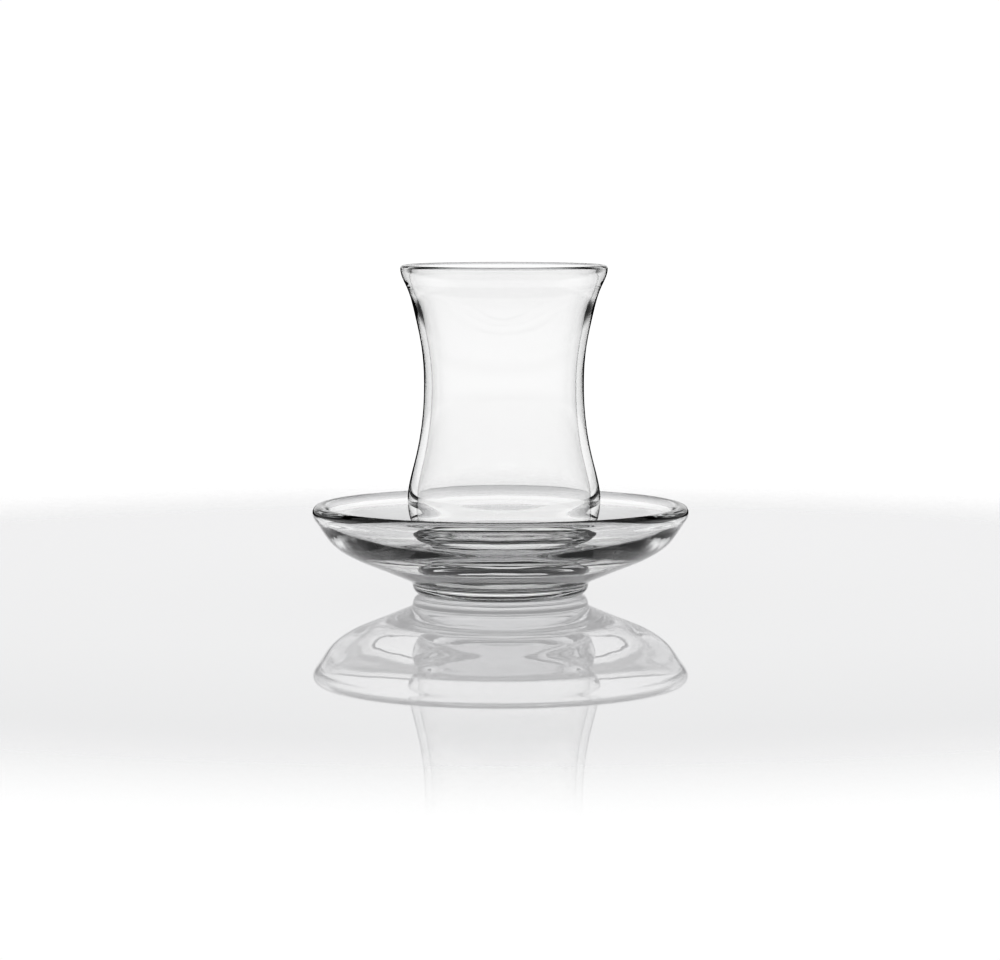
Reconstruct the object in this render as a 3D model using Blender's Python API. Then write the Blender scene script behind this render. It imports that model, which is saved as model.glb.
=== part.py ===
"""Waisted tea glass standing in its footed glass saucer.

Both pieces are turned shapes. Each is one outline in the X-Z plane, with its radius
along +X, that a Screw modifier carries once round the Z axis. Lengths are in metres,
+Z is up, and the origin is the middle of the saucer's foot, on the table.
"""
from math import pi

import bpy
import numpy as np

# Steps round the axis
SEGMENTS = 48
MERGE_DISTANCE = 0.00001

# Directions in the outline's plane, as radius and height
UP = (0.0, 1.0)
DOWN = (0.0, -1.0)
INWARD = (-1.0, 0.0)
OUTWARD = (1.0, 0.0)

# Saucer, from the table up
FOOT_LAND_INNER = 0.0203
FOOT_LAND_OUTER = 0.0216
FOOT_RADIUS = 0.0243
FOOT_HEIGHT = 0.0027
RECESS_RADIUS = 0.0177
RECESS_HEIGHT = 0.0026
RECESS_FILLET = 0.0005
NECK_RADIUS = 0.0262
NECK_HEIGHT = 0.00435
WELL_RADIUS = 0.0255
WELL_HEIGHT = 0.0082
SAUCER_RADIUS = 0.05205
SAUCER_HEIGHT = 0.02476
SAUCER_RIM_THICKNESS = 0.0039
SAUCER_RIM_DROP = 0.0020

# The saucer's bowl and underside run smoothly through these radii and heights
BOWL_STATIONS = (
    (0.0293, 0.0086),
    (0.0355, 0.0114),
    (0.0403, 0.0144),
    (0.0448, 0.0179),
    (0.0473, 0.0208),
)
UNDERSIDE_STATIONS = (
    (0.0508, 0.0200),
    (0.0473, 0.0150),
    (0.0419, 0.0110),
    (0.0350, 0.0080),
    (0.0295, 0.00575),
)

# Tea glass, from its own base up
GLASS_HEIGHT = 0.08255
GLASS_RIM_RADIUS = 0.028575
GLASS_RIM_THICKNESS = 0.0019
GLASS_WALL_AT_LIP = 0.0016
GLASS_WALL_AT_BELLY = 0.0026
GLASS_FLOOR_HEIGHT = 0.0072
GLASS_FLOOR_SHOULDER = 0.0180
GLASS_FLOOR_SQUARENESS = 4.3
GLASS_LAND_INNER = 0.0186
GLASS_LAND_OUTER = 0.0201
GLASS_PUNT_HEIGHT = 0.0008

# The tea glass's outer side runs smoothly through these radii and heights, lip to heel
SIDE_STATIONS = (
    (0.02683, 0.0765),
    (0.02458, 0.0690),
    (0.02276, 0.0600),
    (0.02207, 0.0490),
    (0.02262, 0.0395),
    (0.02445, 0.0292),
    (0.02610, 0.0225),
    (0.02667, 0.0180),
    (0.02598, 0.0125),
    (0.02460, 0.0085),
    (0.02270, 0.0044),
    (0.02080, 0.0016),
)

# Where the tea glass stands: a little off the saucer's middle, clear of the well
GLASS_OFFSET_X = 0.00096
STANDING_GAP = 0.0003

GLASS_COLOUR = (0.93, 0.945, 0.945, 1.0)
GLASS_ROUGHNESS = 0.02
GLASS_INDEX = 1.5


def clear_scene():
    for old in list(bpy.data.objects):
        bpy.data.objects.remove(old, do_unlink=True)


def unit(direction):
    return np.array(direction) / np.linalg.norm(direction)


def curve_through(stations, count, start_direction, end_direction):
    """Cubic curve through the stations that leaves and arrives in the given directions.

    The pieces between stations share their slope and their bend where they meet. The
    bends are the solution of one linear system, with a row for each station.
    """
    points = np.array(stations)
    size = len(points)
    knots = np.concatenate(([0.0], np.cumsum(np.linalg.norm(np.diff(points, axis=0), axis=1))))
    gaps = np.diff(knots)
    slopes = np.diff(points, axis=0) / gaps[:, None]
    system = np.zeros((size, size))
    target = np.zeros((size, 2))
    for i in range(1, size - 1):
        system[i, i - 1:i + 2] = gaps[i - 1], 2 * (gaps[i - 1] + gaps[i]), gaps[i]
        target[i] = 6 * (slopes[i] - slopes[i - 1])
    system[0, :2] = 2 * gaps[0], gaps[0]
    target[0] = 6 * (slopes[0] - unit(start_direction))
    system[-1, -2:] = gaps[-1], 2 * gaps[-1]
    target[-1] = 6 * (unit(end_direction) - slopes[-1])
    bends = np.linalg.solve(system, target)
    curve = []
    for distance in np.linspace(0.0, knots[-1], count):
        i = min(int(np.searchsorted(knots, distance, side="right")) - 1, size - 2)
        gap = gaps[i]
        after = distance - knots[i]
        before = knots[i + 1] - distance
        bent = (bends[i] * before ** 3 + bends[i + 1] * after ** 3) / (6 * gap)
        start = (points[i] / gap - bends[i] * gap / 6) * before
        end = (points[i + 1] / gap - bends[i + 1] * gap / 6) * after
        curve.append(bent + start + end)
    return np.array(curve)


def arc(centre, radii, start, end, count):
    """Elliptic arc from one angle to the other, in degrees, both ends included."""
    angle = np.radians(np.linspace(start, end, count))
    return np.stack([centre[0] + radii[0] * np.cos(angle), centre[1] + radii[1] * np.sin(angle)], axis=1)


def fillet(start, corner, end, count):
    """Parabolic arc that starts and ends along the two lines through the corner."""
    t = np.linspace(0.0, 1.0, count)[:, None]
    return (1 - t) ** 2 * np.array(start) + 2 * t * (1 - t) * np.array(corner) + t ** 2 * np.array(end)


def outline_of(*stretches):
    """The stretches end to end, each shared point once."""
    outline = np.concatenate(stretches)
    steps = np.linalg.norm(np.diff(outline, axis=0), axis=1)
    return outline[np.concatenate(([True], steps > MERGE_DISTANCE))]


def saucer_outline():
    """From the middle of the well, over the rim and down to the middle of the recess."""
    rim_half = SAUCER_RIM_THICKNESS / 2
    rim_centre = (SAUCER_RADIUS - rim_half, SAUCER_HEIGHT - SAUCER_RIM_DROP)
    rim_inner = (SAUCER_RADIUS - SAUCER_RIM_THICKNESS, rim_centre[1])
    rim_outer = (SAUCER_RADIUS, rim_centre[1])
    well = [(0.0, WELL_HEIGHT)]
    bowl = curve_through(((WELL_RADIUS, WELL_HEIGHT),) + BOWL_STATIONS + (rim_inner,), 14, OUTWARD, UP)
    rim = arc(rim_centre, (rim_half, SAUCER_RIM_DROP), 180, 0, 8)
    neck = np.array((NECK_RADIUS, NECK_HEIGHT))
    cone = neck - UNDERSIDE_STATIONS[-1]
    underside = curve_through((rim_outer,) + UNDERSIDE_STATIONS + (tuple(neck),), 15, DOWN, cone)
    corner = neck + cone * (FOOT_RADIUS - NECK_RADIUS) / cone[0]
    above_foot = fillet(neck, corner, (FOOT_RADIUS, FOOT_HEIGHT), 4)
    foot_bulge = FOOT_RADIUS - FOOT_LAND_OUTER
    foot = arc((FOOT_LAND_OUTER, FOOT_HEIGHT), (foot_bulge, FOOT_HEIGHT), 0, -90, 5)
    foot_width = FOOT_LAND_INNER - RECESS_RADIUS
    foot_top = RECESS_HEIGHT - RECESS_FILLET
    foot_inside = arc((FOOT_LAND_INNER, foot_top), (foot_width, foot_top), -90, -180, 5)
    recess = fillet((RECESS_RADIUS, foot_top), (RECESS_RADIUS, RECESS_HEIGHT),
                    (RECESS_RADIUS - RECESS_FILLET, RECESS_HEIGHT), 3)
    middle = [(0.0, RECESS_HEIGHT)]
    return outline_of(well, bowl, rim, underside, above_foot, foot, foot_inside, recess, middle)


def inner_wall_stations():
    """The side's stations above the shoulder, moved in by a wall that thickens downwards."""
    lip_height = SIDE_STATIONS[0][1]
    stations = []
    for radius, height in reversed(SIDE_STATIONS):
        if height >= GLASS_FLOOR_SHOULDER:
            share = (lip_height - height) / (lip_height - GLASS_FLOOR_SHOULDER)
            wall = GLASS_WALL_AT_LIP + (GLASS_WALL_AT_BELLY - GLASS_WALL_AT_LIP) * share
            stations.append((radius - wall, height))
    return stations


def glass_outline():
    """From the middle of the tea glass's floor, over its rim and down to its base."""
    rim_half = GLASS_RIM_THICKNESS / 2
    rim_centre = (GLASS_RIM_RADIUS - rim_half, GLASS_HEIGHT - rim_half)
    stations = inner_wall_stations()
    shoulder = stations[0]
    turn = np.linspace(0.0, pi / 2, 10)
    power = 2 / GLASS_FLOOR_SQUARENESS
    depth = GLASS_FLOOR_SHOULDER - GLASS_FLOOR_HEIGHT
    floor = np.stack([shoulder[0] * np.sin(turn) ** power,
                      GLASS_FLOOR_SHOULDER - depth * np.cos(turn) ** power], axis=1)
    flare = np.subtract(SIDE_STATIONS[0], SIDE_STATIONS[1])
    wall = curve_through(stations + [(rim_centre[0] - rim_half, rim_centre[1])], 13, UP, flare)
    rim = arc(rim_centre, (rim_half, rim_half), 180, 0, 7)
    side = curve_through(((GLASS_RIM_RADIUS, rim_centre[1]),) + SIDE_STATIONS
                         + ((GLASS_LAND_OUTER, 0.0),), 24, DOWN, INWARD)
    rise = np.linspace(0.0, 1.0, 4)
    punt = np.stack([GLASS_LAND_INNER * (1 - rise), GLASS_PUNT_HEIGHT * (1 - (1 - rise) ** 2)], axis=1)
    return outline_of(floor, wall, rim, side, punt)


def glass_material(name):
    material = bpy.data.materials.new(name)
    material.use_nodes = True
    surface = material.node_tree.nodes["Principled BSDF"]
    surface.inputs["Base Color"].default_value = GLASS_COLOUR
    surface.inputs["Roughness"].default_value = GLASS_ROUGHNESS
    surface.inputs["Metallic"].default_value = 0.0
    surface.inputs["IOR"].default_value = GLASS_INDEX
    surface.inputs["Transmission Weight"].default_value = 1.0
    return material


def turned_piece(name, outline, place):
    """A named object that is the outline carried once round its own Z axis."""
    corners = [(float(radius), 0.0, float(height)) for radius, height in outline]
    edges = [(i, i + 1) for i in range(len(corners) - 1)]
    mesh = bpy.data.meshes.new(name)
    mesh.from_pydata(corners, edges, [])
    mesh.materials.append(glass_material(name + "_clear"))
    piece = bpy.data.objects.new(name, mesh)
    piece.location = place
    bpy.context.collection.objects.link(piece)
    turn = piece.modifiers.new("Turn", "SCREW")
    turn.axis = "Z"
    turn.angle = 2 * pi
    turn.steps = SEGMENTS
    turn.render_steps = SEGMENTS
    turn.use_merge_vertices = True
    turn.merge_threshold = MERGE_DISTANCE
    turn.use_smooth_shade = True
    return piece


def build():
    clear_scene()
    turned_piece("saucer", saucer_outline(), (0.0, 0.0, 0.0))
    turned_piece("tea_glass", glass_outline(), (GLASS_OFFSET_X, 0.0, WELL_HEIGHT + STANDING_GAP))


build()
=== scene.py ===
# Waisted tea glass standing in its footed glass saucer, on a plain pale floor.
# The forms are in millimetres, radius first and then height; meshes and lights are in metres.
import bpy
import numpy as np
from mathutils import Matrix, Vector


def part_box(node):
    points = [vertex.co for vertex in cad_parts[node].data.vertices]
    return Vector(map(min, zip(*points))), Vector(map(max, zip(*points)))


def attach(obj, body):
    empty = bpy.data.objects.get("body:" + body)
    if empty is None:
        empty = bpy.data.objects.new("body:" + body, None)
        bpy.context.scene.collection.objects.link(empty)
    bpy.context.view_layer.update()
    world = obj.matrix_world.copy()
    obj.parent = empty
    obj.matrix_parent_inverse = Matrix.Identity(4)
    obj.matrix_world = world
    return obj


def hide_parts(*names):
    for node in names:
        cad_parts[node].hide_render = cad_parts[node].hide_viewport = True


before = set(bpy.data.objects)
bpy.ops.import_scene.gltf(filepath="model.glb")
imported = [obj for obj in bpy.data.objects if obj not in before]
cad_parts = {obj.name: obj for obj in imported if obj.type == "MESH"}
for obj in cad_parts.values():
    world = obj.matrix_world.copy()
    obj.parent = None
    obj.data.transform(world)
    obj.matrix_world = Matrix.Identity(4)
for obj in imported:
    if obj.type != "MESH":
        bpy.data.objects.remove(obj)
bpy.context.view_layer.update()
scene = bpy.context.scene
millimetre = 0.001
sameSpot = 1e-6  # two points of a profile closer than this, in millimetres, are one
degreesPerRadian = 180 / np.pi


# Profiles

# A cubic curve through the stations. Pieces of it share slope and bend where they meet, so the
# bends solve one linear system; either end leaves in the direction that is given for it.
def curveThrough(stations, count, startDirection, endDirection):
    points = np.array(stations, dtype=float)
    knots = np.concatenate(([0.0], np.cumsum(np.linalg.norm(np.diff(points, axis=0), axis=1))))
    gaps = np.diff(knots)
    slopes = np.diff(points, axis=0) / gaps[:, None]
    size = len(points)
    system = np.zeros((size, size))
    target = np.zeros((size, 2))
    inner = np.arange(1, size - 1)
    system[inner, inner - 1] = gaps[:-1]
    system[inner, inner] = 2 * (gaps[:-1] + gaps[1:])
    system[inner, inner + 1] = gaps[1:]
    target[1:-1] = 6 * np.diff(slopes, axis=0)
    system[0, :2] = 2 * gaps[0], gaps[0]
    target[0] = 6 * (slopes[0] - np.array(startDirection) / np.linalg.norm(startDirection))
    system[-1, -2:] = gaps[-1], 2 * gaps[-1]
    target[-1] = 6 * (np.array(endDirection) / np.linalg.norm(endDirection) - slopes[-1])
    bend = np.linalg.solve(system, target)
    distance = np.linspace(0.0, knots[-1], count)
    i = np.clip(np.searchsorted(knots, distance, side="right") - 1, 0, size - 2)
    after = (distance - knots[i])[:, None]
    before = (knots[i + 1] - distance)[:, None]
    gap = gaps[i][:, None]
    bent = (bend[i] * before ** 3 + bend[i + 1] * after ** 3) / (6 * gap)
    start = (points[i] / gap - bend[i] * gap / 6) * before
    end = (points[i + 1] / gap - bend[i + 1] * gap / 6) * after
    return bent + start + end


# An elliptic arc: the centre plus the two radii times the cosine and sine of the angle, in degrees.
def arcRound(centre, radii, startAngle, endAngle, count):
    angle = np.radians(np.linspace(startAngle, endAngle, count))
    return np.stack([centre[0] + radii[0] * np.cos(angle), centre[1] + radii[1] * np.sin(angle)], axis=1)


# A parabola that starts and ends along the two lines through the corner.
def easedCorner(start, corner, end, count):
    t = np.linspace(0.0, 1.0, count)[:, None]
    return (1 - t) ** 2 * np.array(start) + 2 * t * (1 - t) * np.array(corner) + t ** 2 * np.array(end)


# A level stretch: evenly spaced radii, all at one height.
def levelStretch(startRadius, endRadius, height, count):
    return np.stack([np.linspace(startRadius, endRadius, count), np.full(count, height)], axis=1)


# The stretches end to end, with each shared point once.
def endToEnd(*stretches):
    profile = np.concatenate(stretches)
    steps = np.linalg.norm(np.diff(profile, axis=0), axis=1)
    return profile[np.concatenate(([True], steps > sameSpot))]


# A turned surface: the profile's radius times the cosine and sine of the angle, with its height
# kept. The ripple moves the radius in and out by a sum of slow waves in angle and height, as a
# mould and the fire leave glass, and dies away towards the axis. Both ends of the profile lie on
# the axis and become poles, each closed by a fan of triangles.
def turnedSurface(name, profile, form, centreX, baseHeight):
    segments = form["segments"]
    angle = np.linspace(0.0, 2 * np.pi, segments, endpoint=False)
    radius = profile[1:-1, 0][:, None]
    height = profile[1:-1, 1][:, None]
    wave = sum(depth * np.cos(lobes * angle[None] + turn + rise * height)
               for lobes, rise, turn, depth in form["ripple"])
    radius = radius + wave * np.clip(radius / form["rippleRadius"], 0.0, 1.0)
    x = radius * np.cos(angle)
    y = radius * np.sin(angle)
    rings = np.stack([x, y, np.broadcast_to(height, x.shape)], axis=-1).reshape(-1, 3)
    poles = np.array([[0.0, 0.0, profile[0, 1]], [0.0, 0.0, profile[-1, 1]]])
    points = np.concatenate([rings, poles]) * millimetre + np.array([centreX, 0.0, baseHeight])

    rows = len(profile) - 2
    row, column = np.meshgrid(np.arange(rows - 1), np.arange(segments), indexing="ij")
    here = row * segments + column
    beside = row * segments + (column + 1) % segments
    quads = np.stack([here, here + segments, beside + segments, beside], axis=-1).reshape(-1, 4)
    firstPole = rows * segments
    lastRow = (rows - 1) * segments
    column = np.arange(segments)
    following = (column + 1) % segments
    startFan = np.stack([np.full(segments, firstPole), column, following], axis=1)
    endFan = np.stack([np.full(segments, firstPole + 1), lastRow + following, lastRow + column], axis=1)

    mesh = bpy.data.meshes.new(name)
    mesh.from_pydata(points.tolist(), [], quads.tolist() + startFan.tolist() + endFan.tolist())
    mesh.shade_smooth()
    piece = bpy.data.objects.new(name, mesh)
    scene.collection.objects.link(piece)
    return piece


# Nodes

# A new node, with its constants by the names of their sockets.
def addNode(tree, kind, constants=None):
    node = tree.nodes.new(kind)
    for socket, value in (constants or {}).items():
        node.inputs[socket].default_value = value
    return node


# A Math node on one or two values, each a number or another node's output.
def maths(tree, operation, first, second=None):
    node = addNode(tree, "ShaderNodeMath")
    node.operation = operation
    for socket, value in zip(node.inputs, (first, second)):
        if isinstance(value, bpy.types.NodeSocket):
            tree.links.new(value, socket)
        elif value is not None:
            socket.default_value = value
    return node.outputs[0]


# A smooth step centred on the middle, as wide as the edge to either side. It rises from nought to
# one, and where the edge is negative it falls from one to nought.
def smoothEdge(tree, value, middle, edge):
    node = addNode(tree, "ShaderNodeMapRange", {"From Min": middle - edge, "From Max": middle + edge})
    node.interpolation_type = "SMOOTHSTEP"
    tree.links.new(value, node.inputs["Value"])
    return node.outputs["Result"]


# Clear glass

# Painted shade at the edges: each pair is how far the surface is turned away from the eye and a level of
# grey.
glassFinish = {
    "index": 1.51,
    "edgeBlend": 0.5,
    "paintedEdgeShade": ((0.0, 1.0), (0.3, 1.0), (0.6, 0.95), (0.79, 0.83), (0.885, 0.05), (1.0, 0.0)),
    "polish": (0.0, 0.012), "patchScale": 55.0, "patchDetail": 3.0, "patchRange": (0.35, 0.7),
    "waveDetail": 1.5,
    "depthTint": (0.88, 0.89, 0.89, 1.0), "depthDensity": 12.0,
}


# Clear glass that takes a little of the light with depth. Its colour is darkened where it is seen almost
# edge-on: painted shade that stands in for a dark room beside a bright window. The surface is not
# perfect: the polish varies in soft patches, and a slow wave, drawn out along the height by the stretch,
# leans the surface by a fraction of a degree.
def clearGlass(name, finish, wave):
    material = bpy.data.materials.new(name)
    material.use_nodes = True
    tree = material.node_tree
    links = tree.links
    surface = tree.nodes["Principled BSDF"]
    surface.inputs["Transmission Weight"].default_value = 1.0
    surface.inputs["IOR"].default_value = finish["index"]

    # Painted shade: the glass's colour falls to dark grey as the surface turns edge-on to the eye.
    facing = addNode(tree, "ShaderNodeLayerWeight", {"Blend": finish["edgeBlend"]})
    edge = addNode(tree, "ShaderNodeValToRGB")
    edge.color_ramp.interpolation = "EASE"
    stops = edge.color_ramp.elements
    while len(stops) < len(finish["paintedEdgeShade"]):
        stops.new(0.5)  # any place will do, as each stop is placed below
    for stop, (position, level) in zip(stops, finish["paintedEdgeShade"]):
        stop.position = position
        stop.color = (level, level, level, 1.0)
    links.new(facing.outputs["Facing"], edge.inputs["Fac"])
    links.new(edge.outputs["Color"], surface.inputs["Base Color"])

    place = addNode(tree, "ShaderNodeTexCoord")
    patches = addNode(tree, "ShaderNodeTexNoise", {
        "Scale": finish["patchScale"], "Detail": finish["patchDetail"],
    })
    polish = addNode(tree, "ShaderNodeMapRange", {
        "From Min": finish["patchRange"][0], "From Max": finish["patchRange"][1],
        "To Min": finish["polish"][0], "To Max": finish["polish"][1],
    })
    links.new(place.outputs["Object"], patches.inputs["Vector"])
    links.new(patches.outputs["Fac"], polish.inputs["Value"])
    links.new(polish.outputs["Result"], surface.inputs["Roughness"])

    drawn = addNode(tree, "ShaderNodeMapping", {"Scale": (1.0, 1.0, wave["stretch"])})
    slow = addNode(tree, "ShaderNodeTexNoise", {"Scale": wave["scale"], "Detail": finish["waveDetail"]})
    lean = addNode(tree, "ShaderNodeBump", {"Strength": 1.0, "Distance": wave["depth"]})
    links.new(place.outputs["Object"], drawn.inputs["Vector"])
    links.new(drawn.outputs["Vector"], slow.inputs["Vector"])
    links.new(slow.outputs["Fac"], lean.inputs["Height"])
    links.new(lean.outputs["Normal"], surface.inputs["Normal"])

    depth = addNode(tree, "ShaderNodeVolumeAbsorption", {
        "Color": finish["depthTint"], "Density": finish["depthDensity"],
    })
    links.new(depth.outputs["Volume"], tree.nodes["Material Output"].inputs["Volume"])
    return material


# Saucer

# A row of the ripple is its lobes round the axis, its rise per millimetre of height, its turn and
# its depth. The wave's depth is in metres. The steps are the points along each stretch.
saucerForm = {
    "rimThickness": 4.1, "rimDrop": 2.1,
    "wellRadius": 25.8, "wellHeight": 8.2,
    "bowl": ((29.3, 8.65), (35.5, 11.2), (40.3, 14.35), (44.8, 17.95), (47.3, 21.1)),
    "underside": ((50.8, 20.0), (47.3, 15.0), (41.9, 11.0), (35.0, 8.0), (29.5, 5.75)),
    "neck": (26.2, 4.35),
    "footRadius": 24.3, "footHeight": 2.7, "land": (20.3, 21.6),
    "recessRadius": 17.7, "recessHeight": 2.6, "recessFillet": 0.5,
    "ripple": ((2, 0.05, 0.4, 0.03), (3, 0.11, 2.1, 0.02)), "rippleRadius": 10.0,
    "wave": {"scale": 70.0, "stretch": 1.0, "depth": 0.00012},
    "segments": 250,
    "steps": {"well": 30, "bowl": 90, "rim": 40, "underside": 100, "aboveFoot": 14, "foot": 24,
              "footInside": 20, "recess": 10, "middle": 16},
}


# From the middle of the well, over the rim and down to the middle of the recess under the foot.
# The bowl and the underside are curves through their stations, the rim and both sides of the foot
# are elliptic arcs, and the two corners are eased.
def saucerProfile(form, outerRadius, topHeight):
    steps = form["steps"]
    half, drop = form["rimThickness"] / 2, form["rimDrop"]
    rimHeight = topHeight - drop
    well = levelStretch(0.0, form["wellRadius"], form["wellHeight"], steps["well"])
    bowlStart = (form["wellRadius"], form["wellHeight"])
    bowlEnd = (outerRadius - form["rimThickness"], rimHeight)
    bowl = curveThrough((bowlStart, *form["bowl"], bowlEnd), steps["bowl"], (1, 0), (0, 1))
    rim = arcRound((outerRadius - half, rimHeight), (half, drop), 180, 0, steps["rim"])

    neck = np.array(form["neck"])
    cone = neck - form["underside"][-1]
    undersideStations = ((outerRadius, rimHeight), *form["underside"], form["neck"])
    underside = curveThrough(undersideStations, steps["underside"], (0, -1), cone)
    corner = neck + cone * (form["footRadius"] - neck[0]) / cone[0]
    footTop = (form["footRadius"], form["footHeight"])
    aboveFoot = easedCorner(neck, corner, footTop, steps["aboveFoot"])

    landInner, landOuter = form["land"]
    height = form["footHeight"]
    foot = arcRound((landOuter, height), (form["footRadius"] - landOuter, height), 0, -90, steps["foot"])
    radius, ceiling, fillet = form["recessRadius"], form["recessHeight"], form["recessFillet"]
    inner = ceiling - fillet
    footInside = arcRound((landInner, inner), (landInner - radius, inner), -90, -180, steps["footInside"])
    recess = easedCorner((radius, inner), (radius, ceiling), (radius - fillet, ceiling), steps["recess"])
    middle = levelStretch(radius - fillet, 0.0, ceiling, steps["middle"])
    return endToEnd(well, bowl, rim, underside, aboveFoot, foot, footInside, recess, middle)


# As wide and as high as the solid, and round the world's own axis.
def makeSaucer():
    low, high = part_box("saucer")
    outerRadius = (high[0] - low[0]) / 2 / millimetre
    topHeight = high[2] / millimetre
    profile = saucerProfile(saucerForm, outerRadius, topHeight)
    saucer = turnedSurface("saucerPressed", profile, saucerForm, 0.0, 0.0)
    saucer.data.materials.append(clearGlass("saucerGlass", glassFinish, saucerForm["wave"]))
    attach(saucer, "root")
    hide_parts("saucer")


# Tea glass

# The side runs from the lip to the heel, and heights are from the tea glass's own base.
teaGlassForm = {
    "rimThickness": 1.9, "wallAtLip": 1.6, "wallAtBelly": 2.6,
    "side": ((26.83, 76.5), (24.58, 69.0), (22.76, 60.0), (22.07, 49.0), (22.62, 39.5), (24.45, 29.2),
             (26.10, 22.5), (26.67, 18.0), (25.98, 12.5), (24.6, 8.5), (22.7, 4.4), (20.8, 1.6)),
    "land": (18.6, 20.1), "punt": 0.8,
    "floorHeight": 7.2, "shoulderHeight": 18.0, "floorSquareness": 4.3,
    "ripple": ((2, 0.02, 1.0, 0.02), (5, 0.05, 0.3, 0.01)), "rippleRadius": 10.0,
    "wave": {"scale": 90.0, "stretch": 0.35, "depth": 0.00006},
    "segments": 250,
    "steps": {"floor": 60, "wall": 110, "rim": 30, "side": 150, "punt": 24},
}


# From the middle of the floor inside, up the wall, over the rim and down to the middle of the base.
# The inner wall is the side's own stations moved in by a wall that thickens evenly downwards, and
# the floor is a superellipse that meets it at the shoulder. The punt is a parabola.
def teaGlassProfile(form, rimRadius, topHeight):
    steps = form["steps"]
    half = form["rimThickness"] / 2
    rimHeight = topHeight - half
    landInner, landOuter = form["land"]
    sideStations = ((rimRadius, rimHeight), *form["side"], (landOuter, 0.0))
    side = curveThrough(sideStations, steps["side"], (0, -1), (-1, 0))

    shoulder = form["shoulderHeight"]
    stations = np.array([place for place in reversed(form["side"]) if place[1] >= shoulder])
    share = (stations[-1, 1] - stations[:, 1]) / (stations[-1, 1] - shoulder)
    stations[:, 0] -= form["wallAtLip"] + (form["wallAtBelly"] - form["wallAtLip"]) * share
    flare = np.subtract(form["side"][0], form["side"][1])
    wall = curveThrough([*stations, (rimRadius - 2 * half, rimHeight)], steps["wall"], (0, 1), flare)

    turn = np.linspace(0.0, np.pi / 2, steps["floor"])
    power = 2 / form["floorSquareness"]
    depth = shoulder - form["floorHeight"]
    floorRadius = stations[0, 0] * np.sin(turn) ** power
    floor = np.stack([floorRadius, shoulder - depth * np.cos(turn) ** power], axis=1)
    rim = arcRound((rimRadius - half, rimHeight), (half, half), 180, 0, steps["rim"])
    rise = np.linspace(0.0, 1.0, steps["punt"])
    punt = np.stack([landInner * (1 - rise), form["punt"] * (1 - (1 - rise) ** 2)], axis=1)
    return endToEnd(floor, wall, rim, side, punt)


# As wide and as high as the solid, and where the solid stands.
def makeTeaGlass():
    low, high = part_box("tea_glass")
    rimRadius = (high[0] - low[0]) / 2 / millimetre
    topHeight = (high[2] - low[2]) / millimetre
    centreX = (low[0] + high[0]) / 2
    profile = teaGlassProfile(teaGlassForm, rimRadius, topHeight)
    teaGlass = turnedSurface("teaGlassBlown", profile, teaGlassForm, centreX, low[2])
    teaGlass.data.materials.append(clearGlass("teaGlassClear", glassFinish, teaGlassForm["wave"]))
    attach(teaGlass, "root")
    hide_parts("tea_glass")


# Floor

# The near-black colour for turned rays is painted shade, seen only through the glass.
floorForm = {
    "radius": 0.6, "corners": 96,
    "colour": (0.5, 0.5, 0.505, 1.0), "roughness": 0.02, "index": 1.5,
    "fadeMiddle": 0.3, "fadeEdge": 0.06,
    "paintedTurnedShade": (0.02, 0.02, 0.02, 1.0), "turnedAfter": 2.5,
}


# A pale gloss that fades away with the distance from the middle, so that the floor has no hard end
# from any side. For rays that the inside of the glass has turned down once, it has painted shade, a
# near-black colour: those rays have taken an odd number of steps, and more than two.
def paleFloor(form):
    material = bpy.data.materials.new("paleFloor")
    material.use_nodes = True
    tree = material.node_tree
    links = tree.links
    surface = tree.nodes["Principled BSDF"]
    surface.inputs["Roughness"].default_value = form["roughness"]
    surface.inputs["IOR"].default_value = form["index"]

    steps = addNode(tree, "ShaderNodeLightPath").outputs["Ray Depth"]
    odd = maths(tree, "MODULO", steps, 2.0)
    turned = maths(tree, "MULTIPLY", odd, maths(tree, "GREATER_THAN", steps, form["turnedAfter"]))
    # Painted shade: the floor's colour turns near black for rays turned down inside the glass.
    shade = addNode(tree, "ShaderNodeMix")
    shade.data_type = "RGBA"
    plainColour, paintedTurnedShade, shaded = shade.inputs[6], shade.inputs[7], shade.outputs[2]
    plainColour.default_value = form["colour"]
    paintedTurnedShade.default_value = form["paintedTurnedShade"]
    links.new(turned, shade.inputs["Factor"])
    links.new(shaded, surface.inputs["Base Color"])

    place = addNode(tree, "ShaderNodeTexCoord")
    reach = addNode(tree, "ShaderNodeVectorMath")
    reach.operation = "LENGTH"
    links.new(place.outputs["Object"], reach.inputs[0])
    fade = smoothEdge(tree, reach.outputs["Value"], form["fadeMiddle"], form["fadeEdge"])
    gone = addNode(tree, "ShaderNodeBsdfTransparent")
    mix = addNode(tree, "ShaderNodeMixShader")
    links.new(fade, mix.inputs[0])
    links.new(surface.outputs[0], mix.inputs[1])
    links.new(gone.outputs[0], mix.inputs[2])
    links.new(mix.outputs[0], tree.nodes["Material Output"].inputs["Surface"])
    return material


# A flat disc: the radius times the cosine and sine of the angle, at no height.
def makeFloor():
    corners = floorForm["corners"]
    angle = np.linspace(0.0, 2 * np.pi, corners, endpoint=False)
    ring = np.stack([np.cos(angle), np.sin(angle), np.zeros(corners)], axis=1) * floorForm["radius"]
    mesh = bpy.data.meshes.new("floor")
    mesh.from_pydata(ring.tolist(), [], [list(range(corners))])
    mesh.materials.append(paleFloor(floorForm))
    floor = bpy.data.objects.new("floor", mesh)
    scene.collection.objects.link(floor)


# Room

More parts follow.
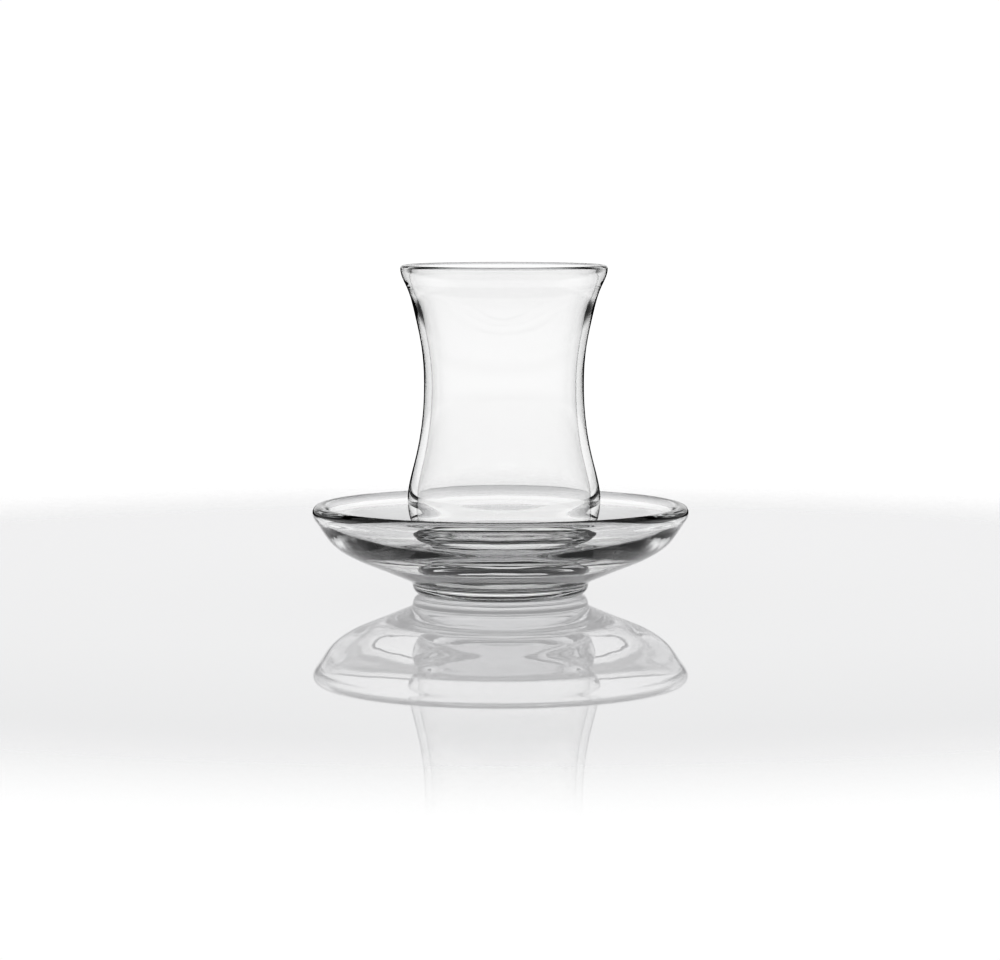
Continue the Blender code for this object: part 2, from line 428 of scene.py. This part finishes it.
# Angles are in degrees, to either side of straight behind the tea glass, or up from the horizon.
# Levels are shares of white.
room = {
    "windowLeft": -48.0, "windowRight": 45.0, "windowEdge": 5.0, "windowLevel": 1.0,
    "gapLevel": 0.75,
    "wallStart": 60.0, "wallEdge": 6.0, "wallLevel": 0.92,
    "top": 26.0, "topEdge": 4.0, "dimLevel": 0.02,
    "stripHalf": 14.0, "stripEdge": 4.0, "mirroredWall": 0.6,
    "horizon": -0.25, "horizonEdge": 0.75,
}


# A white room. Through the glass it is a bright window behind, walls a little dimmer all round, and
# a dimmer gap between the two at either side. In its reflections it is a bright strip straight
# behind, dimmer walls, and nothing under the horizon. Both end in a dim ceiling. The camera itself
# sees plain white.
def makeWorld():
    world = bpy.data.worlds.new("studio")
    scene.world = world
    world.use_nodes = True
    tree = world.node_tree
    place = addNode(tree, "ShaderNodeTexCoord")
    split = addNode(tree, "ShaderNodeSeparateXYZ")
    tree.links.new(place.outputs["Generated"], split.inputs[0])
    x, y, z = split.outputs
    side = maths(tree, "MULTIPLY", maths(tree, "ARCTAN2", x, y), degreesPerRadian)
    aside = maths(tree, "ABSOLUTE", side)
    rise = maths(tree, "MULTIPLY", maths(tree, "ARCSINE", z), degreesPerRadian)
    below = smoothEdge(tree, rise, room["top"], -room["topEdge"])
    above = smoothEdge(tree, rise, room["horizon"], room["horizonEdge"])
    gap, dim = room["gapLevel"], room["dimLevel"]

    fromLeft = smoothEdge(tree, side, room["windowLeft"], room["windowEdge"])
    toRight = smoothEdge(tree, side, room["windowRight"], -room["windowEdge"])
    window = maths(tree, "MULTIPLY", maths(tree, "MULTIPLY", fromLeft, toRight), room["windowLevel"] - gap)
    beyond = smoothEdge(tree, aside, room["wallStart"], room["wallEdge"])
    walls = maths(tree, "MULTIPLY", beyond, room["wallLevel"] - gap)
    allRound = maths(tree, "ADD", maths(tree, "ADD", window, walls), gap)
    through = maths(tree, "ADD", maths(tree, "MULTIPLY", allRound, below), dim)

    strip = smoothEdge(tree, aside, room["stripHalf"], -room["stripEdge"])
    mirroredWall = room["mirroredWall"]
    mirrored = maths(tree, "ADD", maths(tree, "MULTIPLY", strip, 1.0 - mirroredWall), mirroredWall)
    mirrored = maths(tree, "MULTIPLY", maths(tree, "MULTIPLY", mirrored, below), above)
    mirrored = maths(tree, "ADD", mirrored, dim)

    path = addNode(tree, "ShaderNodeLightPath")
    seen, reflected = path.outputs["Is Camera Ray"], path.outputs["Is Reflection Ray"]
    others = maths(tree, "SUBTRACT", 1.0, reflected)
    level = maths(tree, "ADD", maths(tree, "MULTIPLY", reflected, mirrored),
                  maths(tree, "MULTIPLY", others, through))
    background = tree.nodes["Background"]
    background.inputs["Color"].default_value = (1.0, 1.0, 1.0, 1.0)
    tree.links.new(maths(tree, "MAXIMUM", seen, level), background.inputs["Strength"])


# Lamp

topLamp = {"size": 0.9, "height": 1.5, "power": 33.0}


# A round lamp straight above that lights the floor and stays out of sight in the glass. It throws
# no shadow, which would show black beside clear glass.
def makeTopLight():
    light = bpy.data.lights.new("softTop", "AREA")
    light.shape = "DISK"
    light.size = topLamp["size"]
    light.energy = topLamp["power"]
    light.use_shadow = False
    lamp = bpy.data.objects.new("softTop", light)
    scene.collection.objects.link(lamp)
    lamp.location = (0.0, 0.0, topLamp["height"])
    lamp.visible_glossy = False
    lamp.visible_transmission = False


# Camera and picture

# The bounces are the steps that a ray may take, all told and between mirroring surfaces.
picture = {
    "cameraPlace": (-0.00014, -0.9965, 0.1205), "cameraDown": 5.1,
    "lens": 130.14, "sensorWidth": 36.0, "clipEnd": 20.0,
    "tone": ((0.13, 0.05), (0.42, 0.35)),
    "bounces": 24, "glossyBounces": 12,
}


# A camera that looks along +Y and a little down.
def makeCamera():
    camera = bpy.data.cameras.new("camera")
    camera.sensor_width = picture["sensorWidth"]
    camera.lens = picture["lens"]
    camera.clip_end = picture["clipEnd"]
    eye = bpy.data.objects.new("camera", camera)
    scene.collection.objects.link(eye)
    eye.location = picture["cameraPlace"]
    eye.rotation_euler = (np.radians(90 - picture["cameraDown"]), 0.0, 0.0)
    scene.camera = eye


# Deeper darks, as in a studio picture of glass: a curve through these points, in linear light, that
# leaves the whites where they are.
def setTone():
    view = scene.view_settings
    view.view_transform = "Standard"
    view.use_curve_mapping = True
    allColours = view.curve_mapping.curves[3]
    for darkIn, darkOut in picture["tone"]:
        allColours.points.new(darkIn, darkOut)
    view.curve_mapping.update()


# Steps enough for light that passes both pieces, front and back. Caustics are off.
def setLightPaths():
    scene.cycles.max_bounces = picture["bounces"]
    scene.cycles.transmission_bounces = picture["bounces"]
    scene.cycles.glossy_bounces = picture["glossyBounces"]
    scene.cycles.caustics_refractive = False
    scene.cycles.caustics_reflective = False


makeCamera()
print("camera placed")
makeSaucer()
print("saucer made")
makeTeaGlass()
print("tea glass made")
makeFloor()
makeWorld()
makeTopLight()
print("floor, room and lamp made")
setTone()
setLightPaths()
print("stage set")
